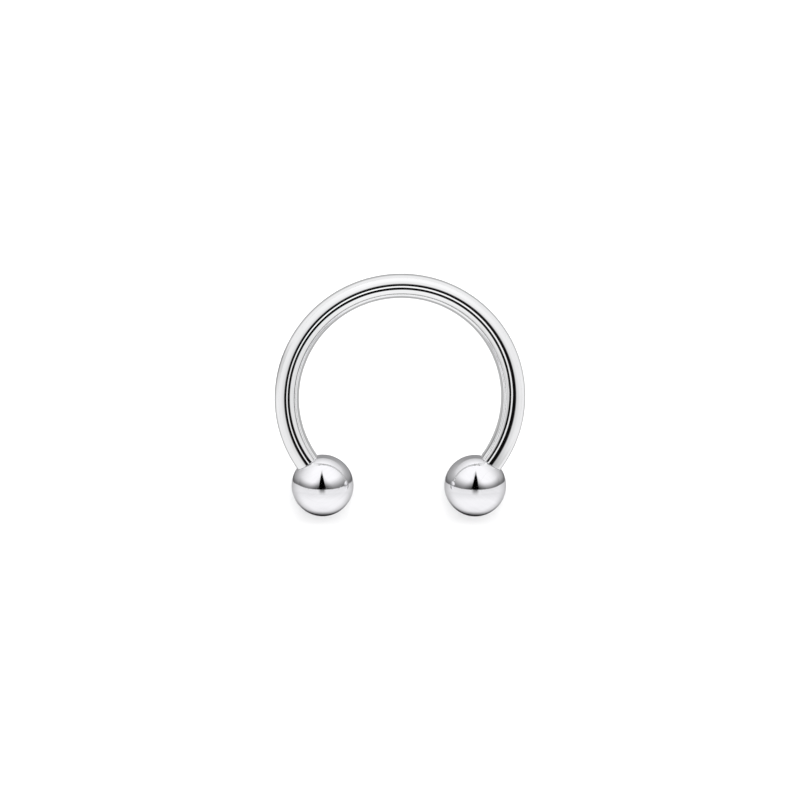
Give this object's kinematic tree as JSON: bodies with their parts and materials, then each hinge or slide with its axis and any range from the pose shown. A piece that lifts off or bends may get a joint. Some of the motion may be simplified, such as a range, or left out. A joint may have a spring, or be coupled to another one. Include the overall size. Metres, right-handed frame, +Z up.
{
  "type": "horseshoe barbell",
  "caption": "Horseshoe barbell for a piercing: a round steel bar bent to an open ring, with a smaller threaded end and a screw-on ball on each side of the opening.",
  "frame": {"origin": "on the surface that it lies on, under the middle of its outline", "axes": "+Z up from the surface; +Y from the balls towards the middle of the bend; +X to the right with the balls nearest"},
  "size_m": [0.0124, 0.0122, 0.0031],
  "materials": {
    "bar_steel": "mirror-polished surgical steel rod with faint lengthwise polishing lines",
    "ball_steel": "mirror-polished surgical steel ball with faint turning lines round the flat"
  },
  "bodies": {
    "bar": {"bar": "bar_steel"},
    "ball_left": {"ball_left": "ball_steel"},
    "ball_right": {"ball_right": "ball_steel"}
  },
  "joints": [
    {"name": "unscrew_left", "type": "slide", "parent": "bar", "child": "ball_left", "axis": [0.5446, -0.835, 0.0781], "range_m": [0, 0.003]},
    {"name": "unscrew_right", "type": "slide", "parent": "bar", "child": "ball_right", "axis": [-0.5446, -0.835, 0.0781], "range_m": [0, 0.003]}
  ]
}
